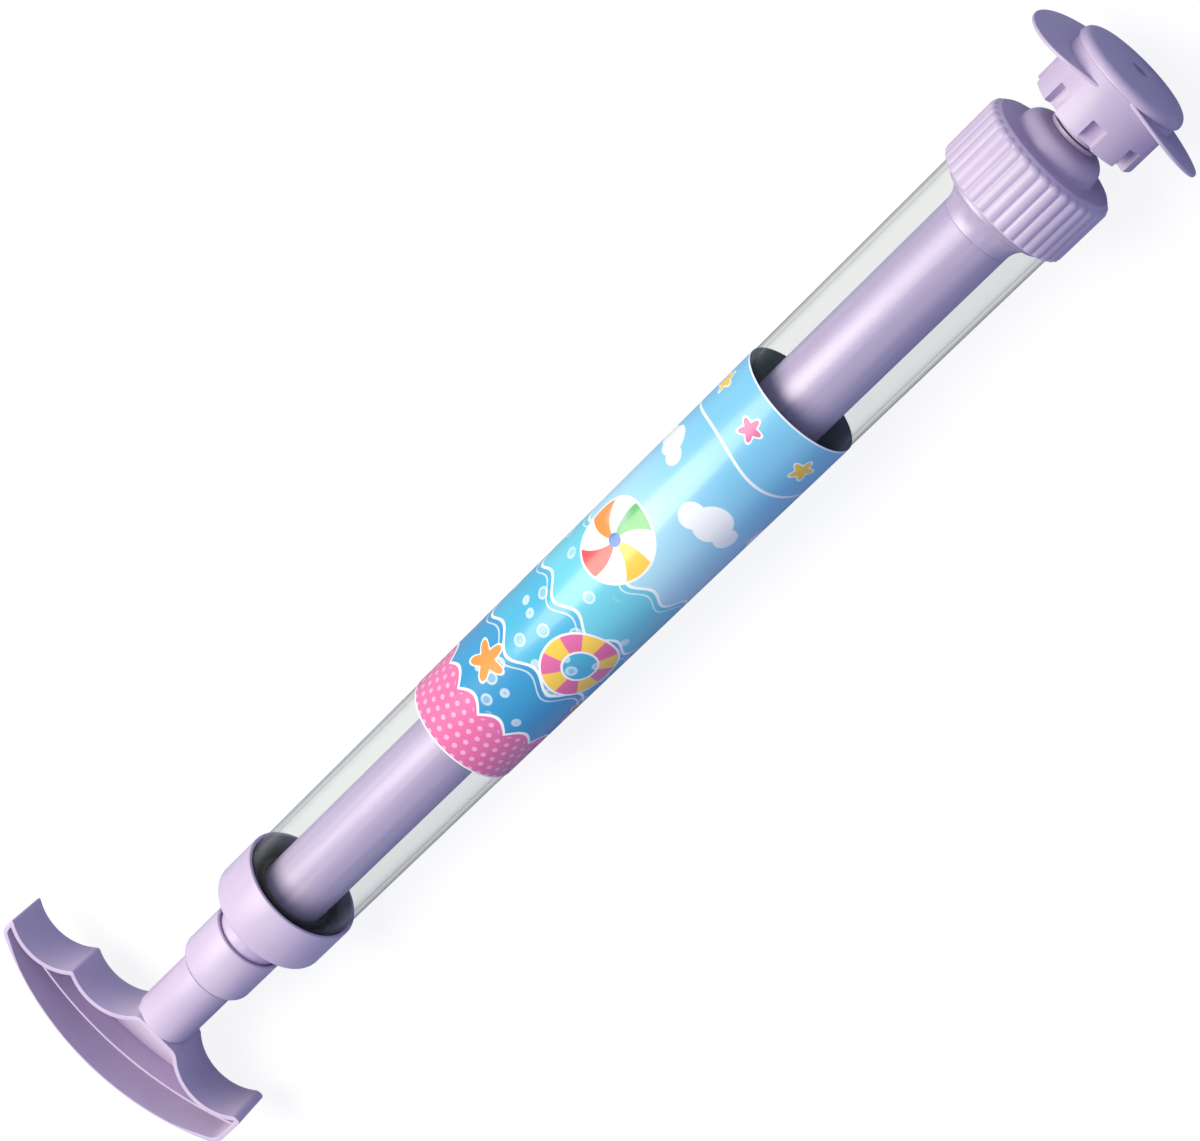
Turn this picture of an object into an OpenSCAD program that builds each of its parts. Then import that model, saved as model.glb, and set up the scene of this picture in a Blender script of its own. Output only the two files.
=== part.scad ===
// Pull-type water squirter: a clear barrel with a printed sleeve, a plunger with a T-handle,
// a ribbed screw cap and a winged nozzle that spins. The barrel lies along X with the nozzle at +X,
// the origin is on its axis at mid length, and the handle lies flat across Y.

/* [Barrel] */
// Length of the clear tube
barrel_length = 344; // [280:1:420]
// Outside diameter of the clear tube
barrel_diameter = 38; // [38:0.5:44]
// Wall of the clear tube
barrel_wall = 1.5; // [1.2:0.1:2]
// Rise of the screw ridges at the nozzle end
thread_rise = 0.4; // [0.2:0.05:0.5]
// Width of one screw ridge
thread_width = 1.3; // [0.8:0.1:2]
// Pitch of the screw ridges
thread_pitch = 3; // [2.4:0.1:3.4]
// Number of screw ridges
thread_turns = 4; // [2:1:4]
// Distance from the tube's end to the first ridge
thread_setback = 1.6; // [1:0.1:3]

/* [Label] */
// Length of the printed sleeve
label_length = 151; // [80:1:200]
// Distance of the sleeve's middle ahead of the barrel's middle
label_shift = 0.9; // [-20:0.1:20]
// Thickness of the printed sleeve
label_thickness = 0.2; // [0.12:0.01:0.3]

/* [Rear cap] */
// Length of the rear cap
rear_cap_length = 17.6; // [16:0.1:26]
// Outside diameter of the rear cap
rear_cap_diameter = 41; // [40.5:0.1:47]
// Thickness of its end wall
rear_cap_end_wall = 2.3; // [1.8:0.1:3.5]
// Rounding of its rear edge
rear_cap_round = 1.4; // [0.6:0.1:1.6]
// Length of the rubber guide bush inside it
bush_length = 12; // [6:0.5:13]
// Chamfer at the front of the guide bush
bush_chamfer = 1.2; // [0.5:0.1:2]

/* [Rod and piston] */
// Outside diameter of the rod
rod_diameter = 22.8; // [22:0.1:24]
// Wall of the rod
rod_wall = 1.25; // [1.15:0.05:1.8]
// Distance from the tube's front end to the piston's face at rest
piston_setback = 6; // [4:0.1:12]
// Length of the piston's round body
piston_length = 12.2; // [11:0.1:16]
// Radius of the trumpet flare from the rod to the piston
flare_radius = 8; // [6:0.1:10]
// Length of the piston's spigot in the rod
spigot_length = 12; // [8:0.5:20]
// Thickness of a piston ring's section
ring_thickness = 2.6; // [2:0.1:3]
// Distance from a ring's middle to the end of the piston body
ring_inset = 3.1; // [2.6:0.1:3.6]
// Length of the plug in the front end of the rod
plug_length = 18; // [10:0.5:30]
// Diameter of the piston screw's shank
screw_diameter = 4; // [3:0.1:5]
// Diameter of the piston screw's head
screw_head_diameter = 8; // [6:0.1:9]
// Thickness of the piston screw's head
screw_head_height = 2.6; // [2:0.1:3]
// Width of the cross slot in the screw's head
screw_slot_width = 1.1; // [0.8:0.1:1.4]
// Depth of the cross slot in the screw's head
screw_slot_depth = 1.4; // [0.8:0.1:1.6]

/* [Rod collar and stem] */
// Distance from the rear cap to the collar at rest
collar_gap = 9.9; // [7:0.1:20]
// Length of the collar
collar_length = 19.6; // [16:0.1:28]
// Outside diameter of the collar
collar_diameter = 26; // [25:0.1:30]
// Rounding of the collar's rear shoulder
collar_round = 2.6; // [1.5:0.1:2.8]
// Length of the step in the collar that holds the stem
collar_seat_length = 5; // [4:0.1:8]
// Depth of the recess in the collar's mouth
collar_mouth_depth = 1.6; // [0.8:0.1:3]
// Width of the recess round the rod in the collar's mouth
collar_mouth_width = 0.5; // [0.4:0.1:0.8]
// Length of the stem between the collar and the grip
stem_length = 27.7; // [20:0.1:40]
// Wall of the stem
stem_wall = 2.2; // [1.6:0.1:4]
// Depth to which the stem runs back into the scallop beside it
stem_sink = 4.4; // [3:0.1:5]
// Length of the stem inside the rod
stem_plug_length = 12; // [8:0.5:30]

/* [Handle grip] */
// Thickness of the grip
grip_thickness = 18.3; // [14:0.1:20]
// Depth of the grip from the stem's flat to the palm
grip_depth = 28.7; // [28.5:0.1:32]
// Radius of the palm curve
palm_radius = 92.4; // [85:0.1:100]
// Distance of the palm curve's middle from the axis, toward the long arm
palm_shift = 9.6; // [8:0.1:11]
// Reach of the long arm from the axis
long_arm = 57.6; // [57.4:0.1:58]
// Reach of the short arm from the axis
short_arm = 41; // [40.5:0.1:41.5]
// Rounding of the long arm's palm corner
long_arm_round = 4; // [3:0.1:5]
// Rounding of the short arm's palm corner
short_arm_round = 6; // [5:0.1:7]
// Setback of the long arm's tip behind the stem's flat
long_tip_setback = 8.9; // [8:0.1:9.5]
// Setback of the short arm's tip behind the stem's flat
short_tip_setback = 0.8; // [0:0.1:1.5]
// Setback of the peak between the two fingers of the long arm
peak_setback = 6.2; // [5.5:0.1:7]
// Distance of that peak from the axis
peak_reach = 31.8; // [31:0.1:32.5]
// Half width of the flat that carries the stem
stem_flat = 10.5; // [10.2:0.1:11]
// Radius of each finger scallop
scallop_radius = 18; // [17.6:0.1:18.4]
// Middle of the outer scallop of the long arm, ahead of the stem's flat
outer_scallop_ahead = 4.8; // [4.4:0.1:5.2]
// Distance of the outer scallop's middle from the axis
outer_scallop_reach = 45.9; // [45.5:0.1:46.3]
// Middle of the inner scallop of the long arm, ahead of the stem's flat
inner_scallop_ahead = 9; // [8.6:0.1:9.4]
// Distance of the inner scallop's middle from the axis
inner_scallop_reach = 22.2; // [21.8:0.1:22.6]
// Middle of the short arm's scallop, ahead of the stem's flat
short_scallop_ahead = 11.2; // [10.8:0.1:11.6]
// Distance of the short arm's scallop's middle from the axis
short_scallop_reach = 24.9; // [24.5:0.1:25.3]
// Wall round the hollow of the grip, but for the palm side
grip_wall = 1.5; // [1.3:0.1:2]
// Thickness of the palm wall at its rim
palm_rim = 0.7; // [0.6:0.1:1]
// Thickness of the palm wall at its foot
palm_foot = 2; // [1.8:0.1:3.6]
// Thickness of the grip's closed side
grip_floor = 3.4; // [2:0.1:5]
// Fillet between the palm wall and the closed side
grip_fillet = 2; // [1.8:0.1:3]
// Thickness of the brace that runs along the hollow
brace_thickness = 0.9; // [0.8:0.1:1.4]
// Radius of the brace's curve
brace_radius = 128; // [120:0.5:140]
// Distance of the brace behind the stem's flat, at its middle
brace_setback = 20.2; // [19.6:0.1:20.8]
// Distance of the brace's middle from the axis, toward the long arm
brace_shift = 15.2; // [13:0.1:17]
// Drop of the brace's edge below the grip's rim
brace_drop = 4.6; // [3:0.1:7]

/* [Screw cap] */
// Length of the screw cap's skirt and front wall
cap_length = 20; // [18:0.1:24]
// Diameter of the screw cap over its ribs
cap_diameter = 42.8; // [42.6:0.1:48]
// Thickness of the screw cap's front wall
cap_front_wall = 2.4; // [1.8:0.1:3.5]
// Depth of the grooves between the ribs
rib_depth = 0.55; // [0.4:0.05:0.8]
// Number of ribs round the screw cap
rib_count = 36; // [24:1:48]
// Radius of one rib
rib_radius = 1.9; // [1.4:0.1:2.4]
// Length of the plain edge behind the ribs
rib_rear_edge = 0.9; // [0.4:0.1:2]
// Chamfer at the screw cap's front edge
cap_chamfer = 1.6; // [0.8:0.1:2]
// Thickness of the sealing ring between the cap and the tube
gasket_thickness = 1.4; // [1:0.1:2]
// Width of the sealing ring
gasket_width = 3.4; // [2:0.1:4]

/* [Nozzle boss] */
// Diameter of the boss on the screw cap
boss_diameter = 26.4; // [24:0.1:28]
// Height of the boss
boss_height = 6.3; // [5.8:0.1:8]
// Rounding of the boss
boss_round = 4; // [2:0.1:4.5]
// Wall of the boss
boss_wall = 2.8; // [2.4:0.1:3]
// Diameter of the nozzle spindle
spindle_diameter = 9; // [8:0.1:11]
// Diameter of the water way and the outlet
outlet_diameter = 5; // [4.4:0.1:6]
// Diameter of the spindle's flange
flange_diameter = 17; // [14:0.1:19]
// Thickness of the spindle's flange
flange_thickness = 1.5; // [1:0.1:2]
// Thickness of the spindle's seal
seal_thickness = 1.2; // [0.8:0.1:1.6]
// Thickness of the thrust washer
washer_thickness = 1.2; // [0.8:0.1:2]
// Diameter of the thrust washer
washer_diameter = 15; // [13:0.1:17]

/* [Spinner] */
// Diameter of the slotted drum
drum_diameter = 35; // [33:0.1:37]
// Length of the slotted drum
drum_length = 16.4; // [14:0.1:18]
// Distance from the boss to the drum's open rim
drum_gap = 4.5; // [3.5:0.1:8]
// Wall of the drum
drum_wall = 4.6; // [4.2:0.1:5]
// Thickness of the wall across the drum
drum_web = 2.2; // [1.6:0.1:3]
// Distance from the drum's front end back to that wall
web_setback = 2; // [1.8:0.1:3]
// Diameter of the hub in the drum
hub_diameter = 14.4; // [13:0.1:17]
// Number of notches in the drum's open rim
notch_count = 8; // [4:1:12]
// Width of one notch
notch_width = 3.5; // [2:0.1:5]
// Length of one notch along the drum
notch_length = 6.5; // [4:0.1:8]
// Depth of one notch into the drum's wall
notch_depth = 3.2; // [2:0.1:3.4]
// Turn of the first notch from the top
notch_turn = 11; // [0:1:45]
// Span over both wings
wing_span = 59.6; // [50:0.1:70]
// Width of one wing
wing_width = 32; // [24:0.1:32.4]
// Thickness of one wing
wing_thickness = 1.1; // [0.9:0.1:1.3]
// Distance from the axis to the inner end of each wing
wing_root = 4; // [3:0.1:6]
// Slope of each wing, as on a propeller
wing_pitch = 3.5; // [0:0.5:4]
// Backward lean of each wing from root to tip
wing_lean = 8; // [4:0.5:12]
// Distance from the drum's front end back to the wings' middle, on the axis
wing_setback = 1.5; // [1.4:0.1:4]
// Diameter of the front disc
disc_diameter = 36.2; // [35.4:0.1:39]
// Thickness of the front disc at its middle
disc_thickness = 4; // [3.6:0.1:6]
// Radius of the front disc's shallow dome
disc_dome = 120; // [80:1:200]
// Rounding of the front disc's edge
disc_round = 1.6; // [1:0.1:2.4]
// Height of the ring that locates the disc in the drum
disc_spigot = 1.6; // [1:0.1:1.8]
// Width of that ring
disc_spigot_width = 2; // [1:0.1:3]
// Depth of the pocket behind the outlet
disc_pocket = 1; // [0.6:0.1:1.4]
// Diameter of the retaining clip
clip_diameter = 13; // [11:0.1:15]
// Thickness of the retaining clip
clip_thickness = 0.9; // [0.6:0.1:1.2]
// Depth of the spindle's groove for the clip
clip_groove = 0.7; // [0.5:0.1:1]
// Length of the spindle in front of the clip
spindle_tip = 0.9; // [0.6:0.1:1.1]

/* [Clearances] */
// Gap between pieces that are pressed or bonded together
bond_gap = 0.05; // [0.02:0.01:0.08]
// Gap of a running fit and of a seal on its wall
running_gap = 0.08; // [0.03:0.01:0.1]
// Gap between the rear cap's skirt and the tube
skirt_gap = 0.3; // [0.2:0.01:0.4]
// Gap between pieces that move freely past each other
free_gap = 0.35; // [0.3:0.01:0.5]
// Length by which every cut runs past the face it opens
cut_overrun = 1; // [0.5:0.1:2]

/* [Hidden] */
$fn = 96;
quarter_turn = 90;
half_turn = 180;
full_turn = 360;
lavender = "#cbb6e0";
deep_lavender = "#a893cf";

barrel_radius = barrel_diameter / 2;
bore_radius = barrel_radius - barrel_wall;
barrel_front = barrel_length / 2;
barrel_rear = -barrel_front;
thread_radius = barrel_radius + thread_rise;

rear_cap_rear = barrel_rear - bond_gap - rear_cap_end_wall;
rear_cap_front = rear_cap_rear + rear_cap_length;

rod_radius = rod_diameter / 2;
rod_bore = rod_radius - rod_wall;
piston_front = barrel_front - piston_setback;
piston_rear = piston_front - piston_length;
land_radius = bore_radius - free_gap;
flare_rise = land_radius - rod_radius;
flare_length = sqrt(pow(flare_radius, 2) - pow(flare_radius - flare_rise, 2));
rod_front = piston_rear - flare_length;
ring_radius = ring_thickness / 2;
ring_middle = bore_radius - running_gap - ring_radius;
groove_radius = ring_middle - ring_radius - running_gap;
groove_width = ring_thickness + 2 * free_gap;
ring_front = piston_front - ring_inset;
ring_rear = piston_rear + ring_inset;
spigot_rear = rod_front - spigot_length;
plug_rear = spigot_rear - plug_length;
screw_radius = screw_diameter / 2;
screw_head_radius = screw_head_diameter / 2;
screw_tip = spigot_rear - plug_length / 2;
screw_seat = piston_front - screw_head_height;

collar_front = rear_cap_rear - collar_gap;
collar_rear = collar_front - collar_length;
collar_radius = collar_diameter / 2;
rod_rear = collar_rear + collar_seat_length;
stem_radius = rod_bore - bond_gap;
stem_front = rod_rear + stem_plug_length;
grip_front = collar_rear - stem_length;
palm_rear = grip_front - grip_depth;
palm_middle = [palm_rear + palm_radius, palm_shift];
grip_bottom = -grip_thickness / 2;
scallop_middles = [
    [grip_front + outer_scallop_ahead, outer_scallop_reach],
    [grip_front + inner_scallop_ahead, inner_scallop_reach],
    [grip_front + short_scallop_ahead, -short_scallop_reach]];

gasket_rear = barrel_front + bond_gap;
gasket_front = gasket_rear + gasket_thickness;
cap_inner_face = gasket_front + bond_gap;
cap_front = cap_inner_face + cap_front_wall;
cap_rear = cap_front - cap_length;
cap_bore = thread_radius + free_gap;
gasket_radius = cap_bore - free_gap;
cap_radius = cap_diameter / 2;
core_radius = cap_radius - rib_depth;
boss_front = cap_front + boss_height;
boss_radius = boss_diameter / 2;
boss_ceiling = boss_front - boss_wall;
boss_hollow = boss_radius - boss_wall;
spindle_radius = spindle_diameter / 2;
outlet_radius = outlet_diameter / 2;
spindle_hole = spindle_radius + bond_gap;
seal_front = boss_ceiling - bond_gap;
seal_rear = seal_front - seal_thickness;
flange_front = seal_rear - bond_gap;
flange_rear = flange_front - flange_thickness;
washer_rear = boss_front + bond_gap;
washer_front = washer_rear + washer_thickness;

drum_radius = drum_diameter / 2;
drum_rear = boss_front + drum_gap;
drum_front = drum_rear + drum_length;
drum_bore = drum_radius - drum_wall;
web_front = drum_front - web_setback;
web_rear = web_front - drum_web;
hub_rear = washer_front + free_gap;
hub_radius = hub_diameter / 2;
clip_rear = web_front + free_gap;
clip_front = clip_rear + clip_thickness;
clip_seat = spindle_radius - clip_groove;
spindle_front = clip_front + bond_gap + spindle_tip;
wing_middle = drum_front - wing_setback;
wing_round = wing_width / 2;
wing_reach = wing_span / (2 * cos(wing_lean)) - wing_round;
disc_rear = drum_front + bond_gap;
disc_front = disc_rear + disc_thickness;
disc_radius = disc_diameter / 2;
disc_flat = disc_radius - disc_round;
disc_edge = disc_front - disc_dome + sqrt(pow(disc_dome, 2) - pow(disc_flat, 2));
spigot_ring_radius = drum_bore - bond_gap;

// A body turned about the barrel's axis: its profile gives the radius, then the place along X.
module turned() {
    rotate([0, quarter_turn, 0]) rotate_extrude() children();
}

// Profile of a plain ring between two radii and two places along X.
module ring_profile(inner, outer, rear, front) {
    translate([inner, rear]) square([outer - inner, front - rear]);
}

// A straight hole or shaft on the barrel's axis.
module axial_cylinder(radius, rear, front) {
    translate([rear, 0, 0]) rotate([0, quarter_turn, 0]) cylinder(r = radius, h = front - rear);
}

module barrel_tube() {
    color("white", 0.35) turned() {
        ring_profile(bore_radius, barrel_radius, barrel_rear, barrel_front);
        for (turn = [0 : thread_turns - 1]) {
            ridge_front = barrel_front - thread_setback - turn * thread_pitch;
            ring_profile(bore_radius, thread_radius, ridge_front - thread_width, ridge_front);
        }
    }
}

module label_sleeve() {
    inner = barrel_radius + bond_gap;
    rear = label_shift - label_length / 2;
    color("#8fcdeb") turned() ring_profile(inner, inner + label_thickness, rear, rear + label_length);
}

module rear_cap() {
    outer = rear_cap_diameter / 2;
    inner = barrel_radius + skirt_gap;
    hole = rod_radius + 2 * free_gap;
    round_place = [outer - rear_cap_round, rear_cap_rear + rear_cap_round];
    color(lavender) turned() {
        ring_profile(inner, outer, round_place[1], rear_cap_front);
        ring_profile(hole, inner, round_place[1], barrel_rear - bond_gap);
        ring_profile(hole, round_place[0], rear_cap_rear, round_place[1]);
        translate(round_place) intersection() {
            circle(r = rear_cap_round);
            translate([0, -rear_cap_round]) square(rear_cap_round);
        }
    }
}

module guide_bush() {
    outer = bore_radius - bond_gap;
    inner = rod_radius + free_gap;
    rear = barrel_rear;
    front = rear + bush_length;
    color("#3c3842") turned() polygon([
        [inner, rear], [outer, rear], [outer, front - bush_chamfer], [outer - bush_chamfer, front],
        [inner + bush_chamfer, front], [inner, front - bush_chamfer]]);
}

module rod_tube() {
    color("#bda7d6") turned() ring_profile(rod_bore, rod_radius, rod_rear, rod_front);
}

module rod_plug() {
    color(deep_lavender) difference() {
        axial_cylinder(rod_bore - bond_gap, plug_rear, spigot_rear - bond_gap);
        axial_cylinder(screw_radius + bond_gap, screw_tip - bond_gap, spigot_rear + cut_overrun);
    }
}

// The piston's outline: a trumpet flare, then a round body with two grooves, with a spigot for the rod.
module piston_profile() {
    spigot_radius = rod_bore - bond_gap;
    difference() {
        union() {
            ring_profile(0, spigot_radius, spigot_rear, rod_front + bond_gap);
            ring_profile(0, land_radius, rod_front + bond_gap, piston_front);
        }
        translate([rod_radius + flare_radius, rod_front]) circle(r = flare_radius);
        for (middle = [ring_front, ring_rear]) {
            groove_rear = middle - groove_width / 2;
            ring_profile(groove_radius, land_radius + cut_overrun, groove_rear, groove_rear + groove_width);
        }
    }
}

module piston_head() {
    color(deep_lavender) difference() {
        turned() piston_profile();
        axial_cylinder(screw_radius + bond_gap, spigot_rear - cut_overrun, piston_front + cut_overrun);
        axial_cylinder(screw_head_radius + bond_gap, screw_seat, piston_front + cut_overrun);
    }
}

module piston_screw() {
    seat = screw_seat + bond_gap;
    slot_reach = screw_head_radius;
    color("silver") difference() {
        union() {
            axial_cylinder(screw_radius, screw_tip, seat);
            axial_cylinder(screw_head_radius, seat, piston_front);
        }
        for (turn = [0, quarter_turn])
            rotate([turn, 0, 0])
            translate([piston_front - screw_slot_depth, -slot_reach / 2, -screw_slot_width / 2])
            cube([screw_slot_depth + cut_overrun, slot_reach, screw_slot_width]);
    }
}

// A round sealing ring whose middle lies at one place along X.
module piston_ring(middle) {
    color("#2b2a2e") turned() translate([ring_middle, middle]) circle(r = ring_radius);
}

module piston_ring_front() {
    piston_ring(ring_front);
}

module piston_ring_rear() {
    piston_ring(ring_rear);
}

module rod_collar() {
    round_place = [collar_radius - collar_round, collar_rear + collar_round];
    mouth = collar_front - collar_mouth_depth;
    mouth_radius = rod_radius + bond_gap + collar_mouth_width;
    color(lavender) turned() difference() {
        union() {
            ring_profile(0, collar_radius, round_place[1], collar_front);
            ring_profile(0, round_place[0], collar_rear, round_place[1]);
            translate(round_place) circle(r = collar_round);
        }
        ring_profile(0, stem_radius + bond_gap, collar_rear - cut_overrun, collar_front + cut_overrun);
        ring_profile(0, rod_radius + bond_gap, rod_rear - bond_gap, collar_front + cut_overrun);
        ring_profile(0, mouth_radius, mouth, collar_front + cut_overrun);
    }
}

// Middle of the circle that rounds an arm's palm corner: it touches the palm curve and the arm's end.
function tip_middle(reach, round_radius) =
    let (across = reach - sign(reach) * round_radius - palm_middle[1])
    let (along = sqrt(pow(palm_radius - round_radius, 2) - pow(across, 2)))
    [palm_middle[0] - along, palm_middle[1] + across];

// Where that circle touches the palm curve, drawn in by the given distance.
function palm_touch(reach, round_radius, inset) =
    let (middle = tip_middle(reach, round_radius))
    palm_middle + (middle - palm_middle) * (palm_radius - inset) / (palm_radius - round_radius);

// The grip's outline seen from above, drawn in by one distance at the palm and by another elsewhere.
module grip_outline(inset, palm_inset) {
    long_middle = tip_middle(long_arm, long_arm_round);
    short_middle = tip_middle(-short_arm, short_arm_round);
    long_end = long_arm - inset;
    short_end = short_arm - inset;
    difference() {
        union() {
            intersection() {
                translate(palm_middle) circle(r = palm_radius - palm_inset, $fn = full_turn);
                polygon([
                    palm_touch(long_arm, long_arm_round, palm_inset),
                    [long_middle[0], long_end],
                    [grip_front - long_tip_setback - inset, long_end],
                    [grip_front - peak_setback - inset, peak_reach],
                    [grip_front - inset, stem_flat],
                    [grip_front - inset, -stem_flat],
                    [grip_front - short_tip_setback - inset, -short_end],
                    [short_middle[0], -short_end],
                    palm_touch(-short_arm, short_arm_round, palm_inset),
                    [palm_rear, short_middle[1]],
                    [palm_rear, long_middle[1]]]);
            }
            translate(long_middle) circle(r = long_arm_round - palm_inset);
            translate(short_middle) circle(r = short_arm_round - palm_inset);
        }
        for (middle = scallop_middles) translate(middle) circle(r = scallop_radius + inset);
    }
}

// The hollow of the grip, open at the top: its palm wall leans out to a thin rim and is filleted at its foot.
module grip_hollow() {
    depth = grip_thickness - grip_floor;
    height = depth + cut_overrun;
    foot = palm_radius - palm_foot;
    lean = atan2(depth, palm_foot - palm_rim);
    fillet_middle = [foot - grip_fillet * tan(lean / 2), grip_fillet];
    slope_touch = fillet_middle + grip_fillet * [sin(lean), -cos(lean)];
    slope_top = [foot + height / tan(lean), height];
    translate([0, 0, grip_bottom + grip_floor]) intersection() {
        linear_extrude(height) intersection() {
            grip_outline(grip_wall, palm_rim);
            translate([palm_rear, grip_wall - short_arm])
                square([grip_depth, long_arm + short_arm - 2 * grip_wall]);
        }
        translate(palm_middle) rotate_extrude($fn = full_turn) {
            polygon([[0, 0], [fillet_middle[0], 0], slope_touch, slope_top, [0, height]]);
            translate(fillet_middle) circle(r = grip_fillet);
        }
    }
}

// A thin curved brace that stands on the closed side and runs from end to end of the hollow.
module grip_brace() {
    height = grip_thickness - brace_drop;
    translate([0, 0, grip_bottom]) intersection() {
        linear_extrude(height) grip_outline(grip_wall / 2, palm_rim / 2);
        translate([grip_front - brace_setback + brace_radius, brace_shift]) difference() {
            cylinder(r = brace_radius, h = height);
            translate([0, 0, -cut_overrun])
                cylinder(r = brace_radius - brace_thickness, h = height + 2 * cut_overrun);
        }
    }
}

module handle_grip() {
    color(lavender) union() {
        difference() {
            union() {
                translate([0, 0, grip_bottom]) linear_extrude(grip_thickness) grip_outline(0, 0);
                axial_cylinder(stem_radius, grip_front - stem_sink, stem_front);
            }
            grip_hollow();
            axial_cylinder(stem_radius - stem_wall, grip_front, stem_front + cut_overrun);
        }
        grip_brace();
    }
}

module cap_gasket() {
    color("#2b2a2e") turned()
        ring_profile(gasket_radius - gasket_width, gasket_radius, gasket_rear, gasket_front);
}

// The cap's ribs: round bars set in a circle, cut square at the front chamfer.
module cap_ribs() {
    middle = cap_radius - rib_radius;
    rear = cap_rear + rib_rear_edge;
    front = cap_front - cap_chamfer;
    difference() {
        for (index = [0 : rib_count - 1])
            rotate([index * full_turn / rib_count, 0, 0])
            translate([0, 0, middle])
            axial_cylinder(rib_radius, rear, front);
        axial_cylinder(cap_bore + free_gap, cap_rear, cap_front);
    }
}

module screw_cap() {
    round_place = [boss_radius - boss_round, boss_front - boss_round];
    color(lavender) difference() {
        union() {
            turned() {
                polygon([
                    [0, cap_rear], [core_radius, cap_rear], [core_radius, cap_front - cap_chamfer],
                    [core_radius - cap_chamfer, cap_front], [0, cap_front]]);
                ring_profile(0, boss_radius, cap_front - cap_front_wall, round_place[1]);
                ring_profile(0, round_place[0], round_place[1], boss_front);
                translate(round_place) circle(r = boss_round);
            }
            cap_ribs();
        }
        axial_cylinder(cap_bore, cap_rear - cut_overrun, cap_inner_face);
        axial_cylinder(boss_hollow, cap_rear, boss_ceiling);
        axial_cylinder(spindle_hole, cap_rear, boss_front + cut_overrun);
    }
}

module nozzle_spindle() {
    color(deep_lavender) turned() difference() {
        union() {
            ring_profile(outlet_radius, spindle_radius, flange_rear, spindle_front);
            ring_profile(outlet_radius, flange_diameter / 2, flange_rear, flange_front);
        }
        ring_profile(clip_seat, spindle_radius + cut_overrun, clip_rear - bond_gap, clip_front + bond_gap);
    }
}

module spindle_seal() {
    color("#2b2a2e") turned() ring_profile(spindle_hole, flange_diameter / 2, seal_rear, seal_front);
}

module thrust_washer() {
    color(deep_lavender) turned() ring_profile(spindle_hole, washer_diameter / 2, washer_rear, washer_front);
}

module retaining_clip() {
    slot = 2 * clip_seat;
    color("silver") difference() {
        turned() ring_profile(clip_seat + bond_gap, clip_diameter / 2, clip_rear, clip_front);
        translate([clip_rear - cut_overrun, -slot / 2, 0])
            cube([clip_thickness + 2 * cut_overrun, slot, clip_diameter]);
    }
}

// One wing toward +Y: a flat blade with a round end, sloped about its own length and leaning back.
module wing() {
    translate([wing_middle, 0, 0])
        rotate([0, 0, wing_lean])
        rotate([0, quarter_turn - wing_pitch, 0])
        translate([0, 0, -wing_thickness / 2])
        linear_extrude(wing_thickness) {
            translate([-wing_round, wing_root]) square([wing_width, wing_reach - wing_root]);
            intersection() {
                translate([0, wing_reach]) circle(r = wing_round);
                translate([-wing_round, wing_root]) square([wing_width, wing_span]);
            }
        }
}

module spinner_drum() {
    color(lavender) difference() {
        union() {
            turned() {
                ring_profile(0, drum_radius, drum_rear, drum_front);
                ring_profile(0, hub_radius, hub_rear, web_front);
            }
            for (turn = [0, half_turn]) rotate([turn, 0, 0]) wing();
        }
        axial_cylinder(drum_bore, web_front, drum_front + cut_overrun);
        turned() ring_profile(hub_radius, drum_bore, hub_rear - cut_overrun, web_rear);
        axial_cylinder(spindle_radius + running_gap, hub_rear - cut_overrun, drum_front + cut_overrun);
        for (index = [0 : notch_count - 1])
            rotate([notch_turn + index * full_turn / notch_count, 0, 0])
            translate([drum_rear - cut_overrun, -notch_width / 2, drum_radius - notch_depth])
            cube([notch_length + cut_overrun, notch_width, drum_radius]);
    }
}

module spinner_disc() {
    color(lavender) difference() {
        turned() {
            intersection() {
                ring_profile(0, disc_flat, disc_rear, disc_front);
                translate([0, disc_front - disc_dome]) circle(r = disc_dome, $fn = full_turn);
            }
            ring_profile(disc_flat, disc_radius, disc_rear, disc_edge - disc_round);
            translate([disc_flat, disc_edge - disc_round]) intersection() {
                circle(r = disc_round);
                square(disc_round);
            }
            ring_profile(spigot_ring_radius - disc_spigot_width, spigot_ring_radius, disc_rear - disc_spigot,
                disc_rear);
        }
        axial_cylinder(outlet_radius, disc_rear - cut_overrun, disc_front + cut_overrun);
        axial_cylinder(clip_diameter / 2 + free_gap, disc_rear - cut_overrun, disc_rear + disc_pocket);
    }
}

barrel_tube();
label_sleeve();
rear_cap();
guide_bush();
rod_tube();
rod_plug();
piston_head();
piston_screw();
piston_ring_front();
piston_ring_rear();
rod_collar();
handle_grip();
cap_gasket();
screw_cap();
nozzle_spindle();
spindle_seal();
thrust_washer();
retaining_clip();
spinner_drum();
spinner_disc();
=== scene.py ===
import math

import bpy
from mathutils import Matrix, Vector


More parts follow.
